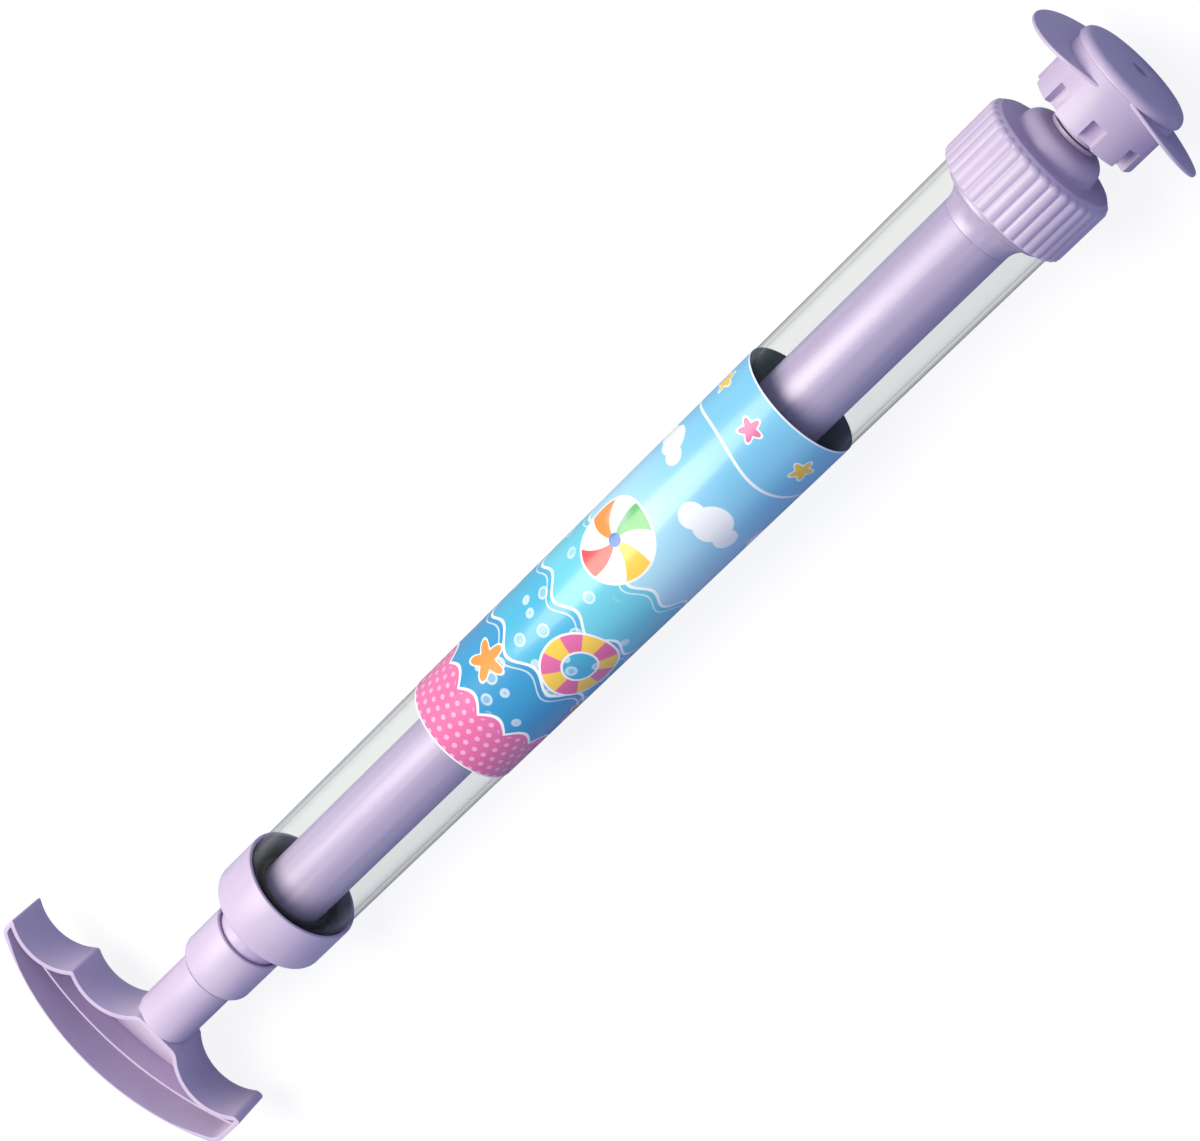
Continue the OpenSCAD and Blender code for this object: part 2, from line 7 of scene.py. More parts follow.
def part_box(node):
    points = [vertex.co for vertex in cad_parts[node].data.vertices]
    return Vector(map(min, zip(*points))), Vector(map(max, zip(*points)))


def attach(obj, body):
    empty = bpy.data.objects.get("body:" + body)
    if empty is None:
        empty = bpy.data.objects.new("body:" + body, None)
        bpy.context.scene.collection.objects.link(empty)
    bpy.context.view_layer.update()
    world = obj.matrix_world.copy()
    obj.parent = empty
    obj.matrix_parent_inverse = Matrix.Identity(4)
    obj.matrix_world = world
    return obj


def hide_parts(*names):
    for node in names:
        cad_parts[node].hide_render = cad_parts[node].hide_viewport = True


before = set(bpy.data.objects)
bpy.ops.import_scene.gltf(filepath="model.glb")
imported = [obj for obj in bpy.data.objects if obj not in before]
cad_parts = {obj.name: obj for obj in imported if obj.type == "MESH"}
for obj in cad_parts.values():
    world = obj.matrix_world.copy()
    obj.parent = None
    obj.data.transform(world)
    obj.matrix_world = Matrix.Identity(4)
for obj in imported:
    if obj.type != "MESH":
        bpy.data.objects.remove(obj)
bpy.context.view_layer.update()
mm = 0.001
perMetre = 1000.0  # mm in a metre, for shader maths
scene = bpy.context.scene
scene.view_settings.view_transform = "Standard"
print("frame loaded with", len(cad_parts), "nodes")


# Camera: where the photo was taken from, in the part's own frame

cameraView = {
    "place": (368.2, 5.15, 761.65),  # mm
    "right": (0.64153, -0.69952, -0.31480),
    "up": (0.62799, 0.71460, -0.30816),
    "back": (0.44053, 0.0, 0.89773),
    "lens": 87.4,
    "sensor": 36.0,
    "nearest": 0.01,  # m, nothing nearer is drawn
}


def addCamera():
    bpy.ops.object.camera_add()
    camera = bpy.context.object
    camera.name = "photoCamera"
    camera.data.sensor_fit = "HORIZONTAL"
    camera.data.sensor_width = cameraView["sensor"]
    camera.data.lens = cameraView["lens"]
    camera.data.clip_start = cameraView["nearest"]
    turn = Matrix((cameraView["right"], cameraView["up"], cameraView["back"])).transposed()
    camera.matrix_world = Matrix.Translation(Vector(cameraView["place"]) * mm) @ turn.to_4x4()
    scene.camera = camera


addCamera()
print("camera set")


# Shader maths: a Wire is one socket, and sums on Wires add nodes

def setStops(ramp, stops):
    while len(ramp.elements) < len(stops):
        ramp.elements.new(1.0)
    for element, (place, tone) in zip(ramp.elements, stops):
        element.position = place
        element.color = tone


class Wire:
    def __init__(self, tree, socket=None):
        self.tree = tree
        self.socket = socket

    def node(self, kind, settings, inputs, out=0):
        made = self.tree.nodes.new(kind)
        for name, value in settings.items():
            if name == "stops":
                setStops(made.color_ramp, value)
            elif name == "steps":
                made.color_ramp.interpolation = value
            else:
                setattr(made, name, value)
        for name, value in inputs.items():
            if isinstance(value, Wire):
                self.tree.links.new(value.socket, made.inputs[name])
            else:
                made.inputs[name].default_value = value
        return Wire(self.tree, made.outputs[out]) if made.outputs else None

    def calc(self, operation, *values):
        return self.node("ShaderNodeMath", {"operation": operation}, dict(enumerate(values)))

    def __add__(self, other):
        return self.calc("ADD", self, other)

    __radd__ = __add__

    def __sub__(self, other):
        return self.calc("SUBTRACT", self, other)

    def __rsub__(self, other):
        return self.calc("SUBTRACT", other, self)

    def __mul__(self, other):
        return self.calc("MULTIPLY", self, other)

    __rmul__ = __mul__

    def __truediv__(self, other):
        return self.calc("DIVIDE", self, other)

    def __rtruediv__(self, other):
        return self.calc("DIVIDE", other, self)

    def out(self, name):  # another socket of the node that this Wire comes from
        return Wire(self.tree, self.socket.node.outputs[name])

    def ramp(self, low, high):  # smooth step from 0 at low to 1 at high
        return self.node("ShaderNodeMapRange", {"interpolation_type": "SMOOTHSTEP"},
                         {"Value": self, "From Min": low, "From Max": high})

    def band(self, start, end):  # 1 between two smooth steps
        return self.ramp(*start) * (1.0 - self.ramp(*end))

    def sway(self, amount):  # a noise as a change up and down from its middle
        return (self - 0.5) * amount

    def tint(self, first, second):  # colour mix with this Wire as its factor
        return self.node("ShaderNodeMix", {"data_type": "RGBA"}, {0: self, 6: first, 7: second}, out=2)


def colour(red, green, blue):  # an 8 bit screen colour as linear light
    def linear(value):
        value /= 255
        return value / 12.92 if value <= 0.04045 else ((value + 0.055) / 1.055) ** 2.4
    return (linear(red), linear(green), linear(blue), 1.0)


def newMaterial(name):
    material = bpy.data.materials.new(name)
    material.use_nodes = True
    material.node_tree.nodes.clear()
    return material, Wire(material.node_tree)


def show(wire, shader):
    wire.node("ShaderNodeOutputMaterial", {}, {"Surface": shader})


def objectPlace(wire):
    return wire.node("ShaderNodeTexCoord", {}, {}, out="Object")


def splitPlace(place):
    return place.node("ShaderNodeSeparateXYZ", {}, {"Vector": place})


def axisDistance(split):  # how far a place is from the barrel's axis, in mm
    aside, up = split.out("Y"), split.out("Z")
    return split.calc("SQRT", aside * aside + up * up) * perMetre


def noise(place, scale, detail):
    return place.node("ShaderNodeTexNoise", {}, {"Vector": place, "Scale": scale, "Detail": detail})


def streaks(place, stretch, scale, detail):  # noise drawn out along the barrel
    drawn = place.node("ShaderNodeMapping", {}, {"Vector": place, "Scale": (stretch, 1.0, 1.0)})
    return noise(drawn, scale, detail)


def bump(height, strength, depth=0.1):  # depth in mm
    return height.node("ShaderNodeBump", {},
                       {"Height": height, "Strength": strength, "Distance": depth * mm})


# Moulded plastic: cloudy pigment, faint flow streaks and a fine satin grain

lavenderTones = {
    "light": colour(206, 191, 217), "deep": colour(198, 181, 210), "contrast": (0.3, 0.7),
    "cloudShare": 0.7, "flowShare": 0.3, "gloss": 0.38, "flowGloss": 0.16, "grainGloss": 0.08,
    "relief": 0.10, "flowRelief": 2.0, "bend": 1.48,
}


def mouldedPlastic(name, tones):
    material, wire = newMaterial(name)
    place = objectPlace(wire)
    cloud = noise(place, scale=38.0, detail=3.0)
    flow = streaks(place, stretch=0.25, scale=210.0, detail=2.0)
    grain = noise(place, scale=2600.0, detail=2.0)
    pigment = (cloud * tones["cloudShare"] + flow * tones["flowShare"]).ramp(*tones["contrast"])
    skin = wire.node("ShaderNodeBsdfPrincipled", {}, {
        "Base Color": pigment.tint(tones["deep"], tones["light"]),
        "Roughness": tones["gloss"] + flow.sway(tones["flowGloss"]) + grain.sway(tones["grainGloss"]),
        "Normal": bump(grain + flow * tones["flowRelief"], tones["relief"]),
        "IOR": tones["bend"]})
    show(wire, skin)
    return material


lavenderPlastic = mouldedPlastic("lavenderPlastic", lavenderTones)


# Pearl tube: drawn lengthwise, with fine flecks

pearlTones = {
    "light": colour(214, 197, 229), "deep": colour(204, 187, 221), "contrast": (0.35, 0.65),
    "drawnShare": 0.8, "fleckShare": 0.2, "gloss": 0.46, "drawnGloss": 0.10, "metal": 0.18,
    "fleckMetal": 0.1, "coat": 0.4, "sheen": 0.4, "relief": 0.06,
}


def pearlTube(tones):
    material, wire = newMaterial("pearlTube")
    place = objectPlace(wire)
    drawn = streaks(place, stretch=0.03, scale=420.0, detail=3.0)
    fleck = noise(place, scale=3200.0, detail=1.0)
    pigment = (drawn * tones["drawnShare"] + fleck * tones["fleckShare"]).ramp(*tones["contrast"])
    skin = wire.node("ShaderNodeBsdfPrincipled", {}, {
        "Base Color": pigment.tint(tones["deep"], tones["light"]),
        "Metallic": tones["metal"] + fleck.sway(tones["fleckMetal"]),
        "Roughness": tones["gloss"] + drawn.sway(tones["drawnGloss"]),
        "Coat Weight": tones["coat"],
        "Coat Roughness": tones["sheen"],
        "Normal": bump(drawn, tones["relief"])})
    show(wire, skin)
    return material


pearlLavender = pearlTube(pearlTones)


# Clear plastic: lets light straight through, and shines more toward its edges; where the wall is seen edge-on
# near the outside it gets a dark grey-green, painted shade for the tube's edges

clearTones = {
    # edge is a painted shade: the dark grey-green line drawn along the tube's edges
    "body": colour(206, 211, 209), "streak": colour(196, 202, 199), "edge": colour(92, 96, 94),
    "pass": (0.951, 0.957, 0.954, 1.0), "contrast": (0.3, 0.7), "gloss": 0.06, "drawnGloss": 0.05,
    "shine": 0.4, "leastGlint": 0.03, "edgeGlint": 0.9, "glintPower": 5.0,
    "darkRimCover": 0.3, "darkRimFacing": (0.5, 0.85), "darkRimRadius": (18.0, 18.6),  # mm
}


def clearTube(tones):
    material, wire = newMaterial("clearTube")
    place = objectPlace(wire)
    drawn = streaks(place, stretch=0.02, scale=300.0, detail=2.0)
    facing = wire.node("ShaderNodeLayerWeight", {}, {"Blend": 0.5}, out="Facing")
    glint = tones["leastGlint"] + tones["edgeGlint"] * facing.calc("POWER", facing, tones["glintPower"])
    outside = axisDistance(splitPlace(place)).ramp(*tones["darkRimRadius"])
    wall = facing.ramp(*tones["darkRimFacing"]) * outside  # the wall seen edge-on, where the painted shade colour is drawn
    face = drawn.ramp(*tones["contrast"]).tint(tones["streak"], tones["body"])
    skin = wire.node("ShaderNodeBsdfPrincipled", {}, {
        "Base Color": wall.tint(face, tones["edge"]),
        "Roughness": tones["gloss"] + drawn * tones["drawnGloss"]})
    body = wire.node("ShaderNodeBsdfTransparent", {}, {"Color": tones["pass"]})
    # the edge-on wall also shows more of the skin, so its painted shade is stronger
    cover = glint * tones["shine"] + wall * tones["darkRimCover"]
    show(wire, wire.node("ShaderNodeMixShader", {}, {0: cover, 1: body, 2: skin}))
    return material


clearPlastic = clearTube(clearTones)


# Rubber: matt, with a pale bloom in patches

rubberTones = {"bloom": (0.35, 0.75), "gloss": 0.55, "grainGloss": 0.3, "relief": 0.2}


def rubber(name, dark, pale):
    material, wire = newMaterial(name)
    place = objectPlace(wire)
    bloom = noise(place, scale=120.0, detail=4.0)
    grain = noise(place, scale=1800.0, detail=2.0)
    skin = wire.node("ShaderNodeBsdfPrincipled", {}, {
        "Base Color": bloom.ramp(*rubberTones["bloom"]).tint(dark, pale),
        "Roughness": rubberTones["gloss"] + grain.sway(rubberTones["grainGloss"]),
        "Normal": bump(grain, rubberTones["relief"])})
    show(wire, skin)
    return material


# the guide bush's near-black rubber is partly painted shade: a real bush, drawn this dark for the shadow deep
# in the rear cap's mouth
bushShadeRubber = rubber("bushShadeRubber", colour(30, 29, 36), colour(44, 42, 51))
blackRubber = rubber("blackRubber", colour(30, 30, 33), colour(44, 44, 48))


# Steel: bright and lightly brushed

steelTones = {"dark": colour(168, 168, 172), "light": colour(208, 208, 212), "gloss": 0.22,
              "brushedGloss": 0.2, "relief": 0.15}


def brightSteel(tones):
    material, wire = newMaterial("brightSteel")
    brushed = streaks(objectPlace(wire), stretch=0.1, scale=2400.0, detail=3.0)
    skin = wire.node("ShaderNodeBsdfPrincipled", {}, {
        "Base Color": brushed.tint(tones["dark"], tones["light"]),
        "Metallic": 1.0,
        "Roughness": tones["gloss"] + brushed * tones["brushedGloss"],
        "Normal": bump(brushed, tones["relief"])})
    show(wire, skin)
    return material


steel = brightSteel(steelTones)
print("plain finishes made")


# Printed sleeve: a generic seaside print, drawn by distance along and round the tube in mm

sleeveInk = {
    "radius": 19.25, "margin": 0.5, "marginSoft": 0.1, "insideDepth": (0.12, 0.08),
    # inside is painted shade: the back of the film is drawn dark teal-grey
    "inside": colour(118, 148, 158), "white": colour(246, 248, 250), "yellow": colour(250, 208, 84),
    "red": colour(232, 84, 84), "orange": colour(246, 150, 70), "green": colour(110, 190, 120),
    "blue": colour(70, 120, 200), "pink": colour(228, 112, 166), "pinkPale": colour(246, 176, 206),
    "skyPale": colour(176, 222, 242), "sky": colour(128, 199, 234), "skyFade": (10.0, 60.0),
    "edge": (-0.1, 0.1), "soft": 0.12, "outline": 0.7,
    "gloss": 0.24, "rippleGloss": 0.12, "coat": 0.2, "relief": 0.12, "reliefDepth": 0.4,
}
waves = {
    # middle, height, count round the tube, phase and ink of each
    "crests": [(9.0, 1.6, 9.0, 0.0, colour(112, 203, 224)), (-12.0, 1.9, 8.0, 1.1, colour(78, 178, 214)),
               (-35.0, 2.2, 7.0, 2.3, colour(58, 150, 200))],
    "foamEnd": (0.9, 1.2), "line": ((2.6, 2.8), (3.2, 3.4)), "lineShade": 0.6,
}
bubbles = {"scale": 120.0, "scatter": 0.9, "hole": (0.16, 0.19), "rimEnd": (0.24, 0.27), "rimShade": 0.55,
           "holeShade": 0.22, "seaRear": (-56.0, -52.0), "seaFront": (-2.0, 2.0)}
clouds = {
    # place along the tube, degrees round it and size of each
    "places": [(38.0, -24.0, 6.0), (44.0, 62.0, 5.0), (36.0, 118.0, 6.0), (40.0, -100.0, 5.5)],
    # setback, turn and size of each puff, as shares of the cloud's size
    "puffs": [(0.0, 0.0, 1.0), (0.3, 3.0, 0.7), (0.3, -3.2, 0.62)],
}
balls = {
    "places": [(13.0, 26.0, 12.5), (-8.0, 205.0, 11.0)],
    "inks": ("red", "white", "yellow", "white", "green", "white", "orange", "white"),
    "twist": 0.006, "hub": 0.17, "glintAhead": 0.4, "glintTurn": 1.3, "glintSize": 0.5, "glintShade": 0.55,
}
swimRings = {"places": [(-24.0, -34.0, 11.5), (28.0, 160.0, 10.0)], "stripes": 5.0,
             "stripeEdge": (-0.06, 0.06), "hole": 0.5}
stars = {
    "starfish": [(-44.0, 30.0, 6.5), (-42.0, -88.0, 6.0), (-46.0, 140.0, 6.5)], "starfishArms": 0.27,
    "count": 6, "place": 66.5, "turn": 12.0, "size": 3.6, "arms": 0.24, "points": 5.0,
}
bands = {
    "pinkEdge": -58.0, "scallops": 6.0, "scallopHeight": 3.4, "pinkLine": (-1.2, -1.0),
    "dotsRound": 36.0, "dotRow": 3.36, "dotSize": (0.22, 0.26), "dotStart": (1.2, 1.4),
    "skyEdge": 57.0, "skyWaves": 3.0, "skyHeight": 1.4, "skyLine": (-1.0, -0.8),
}


class Print:
    def __init__(self, wire):
        self.place = objectPlace(wire)
        split = splitPlace(self.place)
        self.along = split * perMetre
        self.angle = wire.calc("ARCTAN2", split.out("Y"), split.out("Z"))
        self.radius = axisDistance(split)
        self.ink = self.along.ramp(*sleeveInk["skyFade"]).tint(sleeveInk["skyPale"], sleeveInk["sky"])

    def paint(self, mask, ink):
        self.ink = mask.tint(self.ink, ink)

    def whiten(self, mask):
        self.paint(mask, sleeveInk["white"])

    def wave(self, count, phase=0.0):
        return self.angle.calc("SINE", self.angle * count + phase)

    def round(self, degrees):  # distance round the tube from a place given in degrees, in mm
        turn = (self.angle - math.radians(degrees)) / (2 * math.pi)
        return offGrid(turn) * (2 * math.pi * sleeveInk["radius"])

    def spot(self, along, degrees):  # distance from a place on the print, and the direction from it
        ahead = self.along - along
        aside = self.round(degrees)
        distance = ahead.calc("SQRT", ahead * ahead + aside * aside)
        return distance, ahead.calc("ARCTAN2", aside, ahead)


def offGrid(value):  # what is left of a value past the nearest whole number
    return value - value.calc("ROUND", value)


def within(distance, size):
    return (size - distance).ramp(-sleeveInk["soft"], sleeveInk["soft"])


def paintWaves(art):
    for place, height, count, phase, ink in waves["crests"]:
        depth = place + height * art.wave(count, phase) - art.along
        art.paint(depth.ramp(*sleeveInk["edge"]), ink)
        art.whiten(depth.band(sleeveInk["edge"], waves["foamEnd"]))
        art.whiten(depth.band(*waves["line"]) * waves["lineShade"])


def paintBubbles(art):
    cells = art.place.node("ShaderNodeTexVoronoi", {}, {
        "Vector": art.place, "Scale": bubbles["scale"], "Randomness": bubbles["scatter"]})
    sea = art.along.band(bubbles["seaRear"], bubbles["seaFront"])
    art.whiten(cells.band(bubbles["hole"], bubbles["rimEnd"]) * sea * bubbles["rimShade"])
    art.whiten((1.0 - cells.ramp(*bubbles["hole"])) * sea * bubbles["holeShade"])


def paintClouds(art):
    for along, degrees, size in clouds["places"]:
        cloud = None
        for back, turn, share in clouds["puffs"]:
            puff = within(art.spot(along - size * back, degrees + size * turn)[0], size * share)
            cloud = cloud.calc("MAXIMUM", cloud, puff) if cloud else puff
        art.whiten(cloud)


def paintBalls(art):
    inks = balls["inks"]
    stops = [(index / len(inks), sleeveInk[name]) for index, name in enumerate(inks)]
    for along, degrees, size in balls["places"]:
        distance, turn = art.spot(along, degrees)
        share = turn / (2 * math.pi) + 0.5 + distance * balls["twist"]
        panels = share.node("ShaderNodeValToRGB", {"stops": stops, "steps": "CONSTANT"},
                            {0: share.calc("FRACT", share)})
        art.whiten(within(distance, size + sleeveInk["outline"]))
        art.paint(within(distance, size), panels)
        art.paint(within(distance, size * balls["hub"]), sleeveInk["blue"])
        away = art.spot(along + size * balls["glintAhead"], degrees + size * balls["glintTurn"])[0]
        glint = 1.0 - away.ramp(0.0, size * balls["glintSize"])
        art.whiten(glint * within(distance, size) * balls["glintShade"])


def paintSwimRings(art):
    outline = sleeveInk["outline"]
    for along, degrees, size in swimRings["places"]:
        distance, turn = art.spot(along, degrees)
        stripe = turn.calc("SINE", turn * swimRings["stripes"]).ramp(*swimRings["stripeEdge"])
        hole = size * swimRings["hole"]
        art.whiten(within(distance, size + outline) * (1.0 - within(distance, hole - outline)))
        art.paint(within(distance, size) * (1.0 - within(distance, hole)),
                  stripe.tint(sleeveInk["pink"], sleeveInk["yellow"]))


def paintStars(art):
    places = []
    for index in range(stars["count"]):
        degrees = index * 360.0 / stars["count"] + stars["turn"]
        ink = sleeveInk["yellow"] if index % 2 else sleeveInk["pink"]
        places.append((stars["place"], degrees, stars["size"], stars["arms"], ink))
    for starfish in stars["starfish"]:
        places.append((*starfish, stars["starfishArms"], sleeveInk["orange"]))
    for along, degrees, size, arms, ink in places:
        distance, turn = art.spot(along, degrees)
        edge = (1.0 - arms + arms * turn.calc("COSINE", turn * stars["points"])) * size
        art.whiten(within(distance, edge + sleeveInk["outline"]))
        art.paint(within(distance, edge), ink)


def paintBands(art):
    scallop = art.angle.calc("ABSOLUTE", art.wave(bands["scallops"]))
    depth = bands["pinkEdge"] + bands["scallopHeight"] * scallop - art.along
    art.whiten(depth.ramp(*bands["pinkLine"]))
    art.paint(depth.ramp(*sleeveInk["edge"]), sleeveInk["pink"])
    row = art.along / bands["dotRow"]
    shift = row.calc("ROUND", row) * 0.5  # each row of dots starts half a step on
    aside = offGrid(art.angle * (bands["dotsRound"] / (2 * math.pi)) + shift)
    ahead = offGrid(row)
    dots = 1.0 - row.calc("SQRT", aside * aside + ahead * ahead).ramp(*bands["dotSize"])
    art.paint(dots * depth.ramp(*bands["dotStart"]), sleeveInk["pinkPale"])
    rise = art.along - bands["skyEdge"] - bands["skyHeight"] * art.wave(bands["skyWaves"])
    art.whiten(rise.ramp(*bands["skyLine"]))
    art.paint(rise.ramp(*sleeveInk["edge"]), sleeveInk["sky"])


def paintEnds(art, rear, front):
    margin, soft = sleeveInk["margin"], sleeveInk["marginSoft"]
    art.whiten(art.along.ramp(front - margin - soft, front - margin))
    art.whiten(1.0 - art.along.ramp(rear + margin, rear + margin + soft))
    # the film's inner face, and the inner part of its ends, get the inside colour as painted shade
    depths = [sleeveInk["radius"] - depth for depth in sleeveInk["insideDepth"]]
    art.paint(1.0 - art.radius.ramp(*depths), sleeveInk["inside"])


def sleevePrint(rear, front):
    material, wire = newMaterial("sleevePrint")
    art = Print(wire)
    for paintMotif in (paintWaves, paintBubbles, paintClouds, paintSwimRings, paintBalls, paintBands,
                       paintStars):
        paintMotif(art)
    paintEnds(art, rear, front)
    ripple = noise(art.place, scale=60.0, detail=2.0)
    skin = wire.node("ShaderNodeBsdfPrincipled", {}, {
        "Base Color": art.ink,
        "Roughness": sleeveInk["gloss"] + ripple * sleeveInk["rippleGloss"],
        "Coat Weight": sleeveInk["coat"],
        "Normal": bump(ripple, sleeveInk["relief"], sleeveInk["reliefDepth"])})
    show(wire, skin)
    return material


# Modelling tools: a pen draws an outline in edit mode, by extruding one vertex along lines and arcs

modelling = {
    "joinGap": 0.0005,  # mm, points this close become one
    "outlineGap": 0.02,  # mm, the same for the outlines of flat blocks
    "shortest": 0.001,  # mm, a shorter line isn't drawn
    "sameSpot": 0.05,  # mm, how near a point lies to a place or curve that it is on
    "arcFineness": 2.4,  # steps of an arc for a radian at 1 mm radius
    "turnSteps": 144,
    "cornerSteps": 4,
    "crease": 32.0,  # degrees, sharper edges stay sharp
}


def selectAll():
    bpy.ops.mesh.select_all(action="SELECT")


def mergePoints(gap):
    selectAll()
    bpy.ops.mesh.remove_doubles(threshold=gap * mm)


def extrudeUp(height):
    bpy.ops.mesh.extrude_region_move(TRANSFORM_OT_translate={"value": (0, 0, height * mm)})


def capEnds():
    selectAll()
    bpy.ops.mesh.fill_holes(sides=0)


def closeShell():
    mergePoints(modelling["joinGap"])
    bpy.ops.mesh.normals_make_consistent(inside=False)
    bpy.ops.object.mode_set(mode="OBJECT")


class Pen:
    def __init__(self, name, start, upright=True):
        self.upright = upright
        self.point = Vector(start)
        bpy.ops.object.select_all(action="DESELECT")
        bpy.ops.mesh.primitive_plane_add(size=mm)
        self.piece = bpy.context.object
        self.piece.name = name
        self.piece.data.name = name
        bpy.ops.object.mode_set(mode="EDIT")
        selectAll()
        bpy.ops.mesh.merge(type="CENTER")
        bpy.ops.transform.translate(value=self.spot(self.point))

    def spot(self, point):  # drawing plane in mm to space in metres
        return Vector((point[0], 0, point[1]) if self.upright else (point[0], point[1], 0)) * mm

    def line(self, end):
        end = Vector(end)
        if (end - self.point).length > modelling["shortest"]:
            bpy.ops.mesh.extrude_region_move(
                TRANSFORM_OT_translate={"value": self.spot(end) - self.spot(self.point)})
            self.point = end

    def arc(self, centre, end):
        start = self.point - Vector(centre)
        sweep = start.angle_signed(Vector(end) - Vector(centre), 0.0) * -1.0
        steps = max(2, math.ceil(abs(sweep) * math.sqrt(start.length) * modelling["arcFineness"]))
        bpy.ops.mesh.spin(steps=steps, angle=sweep, center=self.spot(centre),
                          axis=(0, 1, 0) if self.upright else (0, 0, -1))
        self.point = Vector(end)

    def corner(self, before, place, after, rounding):
        before, place, after = Vector(before), Vector(place), Vector(after)
        back = (before - place).normalized()
        ahead = (after - place).normalized()
        half = back.angle(ahead) / 2
        setback = rounding / math.tan(half)
        self.line(place + back * setback)
        if rounding > 0:
            centre = place + (back + ahead).normalized() * (rounding / math.sin(half))
            self.arc(centre, place + ahead * setback)


def traceCorners(name, corners, closed=True):
    places = [corner[:2] for corner in corners]
    rounds = [corner[2] if len(corner) > 2 else 0.0 for corner in corners]
    last = len(corners) - 1
    start = (Vector(places[0]) + Vector(places[last])) / 2 if closed else places[0]
    pen = Pen(name, start)
    for index in range(0 if closed else 1, last + 1 if closed else last):
        pen.corner(places[index - 1], places[index], places[(index + 1) % len(places)], rounds[index])
    pen.line(start if closed else places[last])
    mergePoints(modelling["joinGap"])
    return pen.piece


def turnedPiece(name, corners, closed=True, steps=modelling["turnSteps"]):
    piece = traceCorners(name, corners, closed=closed)
    selectAll()
    bpy.ops.mesh.spin(steps=steps, angle=2 * math.pi, center=(0, 0, 0), axis=(1, 0, 0))
    closeShell()
    return piece


def plainTube(name, rear, front, outer, inner, edge):
    return turnedPiece(name, [(rear, outer, edge), (front, outer, edge),
                              (front, inner, edge), (rear, inner, edge)])


def pick(*pieces):
    bpy.ops.object.select_all(action="DESELECT")
    for piece in pieces:
        piece.select_set(True)
    bpy.context.view_layer.objects.active = pieces[0]


def joinPieces(*pieces):
    pick(*pieces)
    bpy.ops.object.join()
    return pieces[0]


def applyModifier(piece, kind, **settings):
    pick(piece)
    modifier = piece.modifiers.new(kind.title(), kind)
    for name, value in settings.items():
        setattr(modifier, name, value)
    bpy.ops.object.modifier_apply(modifier=modifier.name)


def softenEdges(piece, width, angle=40.0, segments=3):
    applyModifier(piece, "BEVEL", width=width * mm, segments=segments, limit_method="ANGLE",
                  angle_limit=math.radians(angle))


def combine(piece, other, operation):
    applyModifier(piece, "BOOLEAN", operation=operation, object=other, solver="EXACT")
    bpy.data.objects.remove(other)


def copyPiece(piece, matrix):
    twin = piece.copy()
    twin.data = piece.data.copy()
    bpy.context.collection.objects.link(twin)
    twin.data.transform(matrix)
    return twin


def turnMatrix(degrees, axis):
    return Matrix.Rotation(math.radians(degrees), 4, axis)


def ringOf(piece, count, first=0.0):  # copies of one piece set in a circle round the barrel's axis
    copies = [copyPiece(piece, turnMatrix(first + 360.0 * index / count, "X")) for index in range(count)]
    bpy.data.objects.remove(piece)
    return joinPieces(*copies)


def finishPiece(piece, node, body, material):
    pick(piece)
    bpy.ops.object.shade_smooth_by_angle(angle=math.radians(modelling["crease"]))
    piece.data.materials.clear()
    piece.data.materials.append(material)
    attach(piece, body)
    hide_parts(node)
    print(piece.name, "has", len(piece.data.polygons), "faces")


def reach(node):  # a turned node's rear end, front end and radius in mm
    low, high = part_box(node)
    return low[0] / mm, high[0] / mm, high[2] / mm


# Barrel: clear tube with a screw thread at the nozzle end

barrel = {"radius": 19.0, "bore": 17.5, "rim": 0.45}
thread = {"rise": 0.38, "foot": 0.9, "top": 0.45, "round": 0.12, "pitch": 3.0, "turns": 4, "setback": 1.6,
          "lead": 1.0, "sink": 0.3, "steps": 96}


def makeThread(front):
    foot, top = thread["foot"] / 2, thread["top"] / 2
    start = front - thread["setback"] - foot - thread["pitch"] * thread["turns"] + thread["lead"]
    low = barrel["radius"] - thread["sink"]
    high = barrel["radius"] + thread["rise"]
    ridge = traceCorners("barrelThread", [(start - foot, low), (start - top, high, thread["round"]),
                                          (start + top, high, thread["round"]), (start + foot, low)])
    bpy.ops.object.mode_set(mode="OBJECT")
    applyModifier(ridge, "SCREW", axis="X", angle=2 * math.pi, screw_offset=thread["pitch"] * mm,
                  iterations=thread["turns"], steps=thread["steps"], render_steps=thread["steps"],
                  use_merge_vertices=False)
    bpy.ops.object.mode_set(mode="EDIT")
    mergePoints(modelling["joinGap"])
    capEnds()
    closeShell()
    return ridge


def makeBarrel():
    rear, front, _ = reach("barrel_tube")
    tube = plainTube("clearBarrel", rear, front, barrel["radius"], barrel["bore"], barrel["rim"])
    finishPiece(joinPieces(tube, makeThread(front)), "barrel_tube", "barrel", clearPlastic)


# Sleeve: thin film wrapped round the barrel, its ends lapped under a seam strip below

sleeve = {"inner": 19.05, "outer": 19.25, "edge": 0.08, "seamRise": 0.12, "seamTurn": 26.0, "seamInset": 0.6,
          "seamSteps": 12}


def makeSleeve():
    rear, front, _ = reach("label_sleeve")
    edge, inset = sleeve["edge"], sleeve["seamInset"]
    film = plainTube("printedSleeve", rear, front, sleeve["outer"], sleeve["inner"], edge)
    low, high = sleeve["outer"] - edge, sleeve["outer"] + sleeve["seamRise"]
    seam = traceCorners("sleeveSeam", [(rear + inset, high, edge), (front - inset, high, edge),
                                       (front - inset, low), (rear + inset, low)])
    selectAll()
    bpy.ops.mesh.spin(steps=sleeve["seamSteps"], angle=math.radians(sleeve["seamTurn"]), center=(0, 0, 0),
                      axis=(1, 0, 0))
    capEnds()
    selectAll()
    bpy.ops.transform.rotate(value=math.pi, orient_axis="X", center_override=(0, 0, 0))
    closeShell()
    finishPiece(joinPieces(film, seam), "label_sleeve", "barrel", sleevePrint(rear, front))


# Rear cap and its guide bush

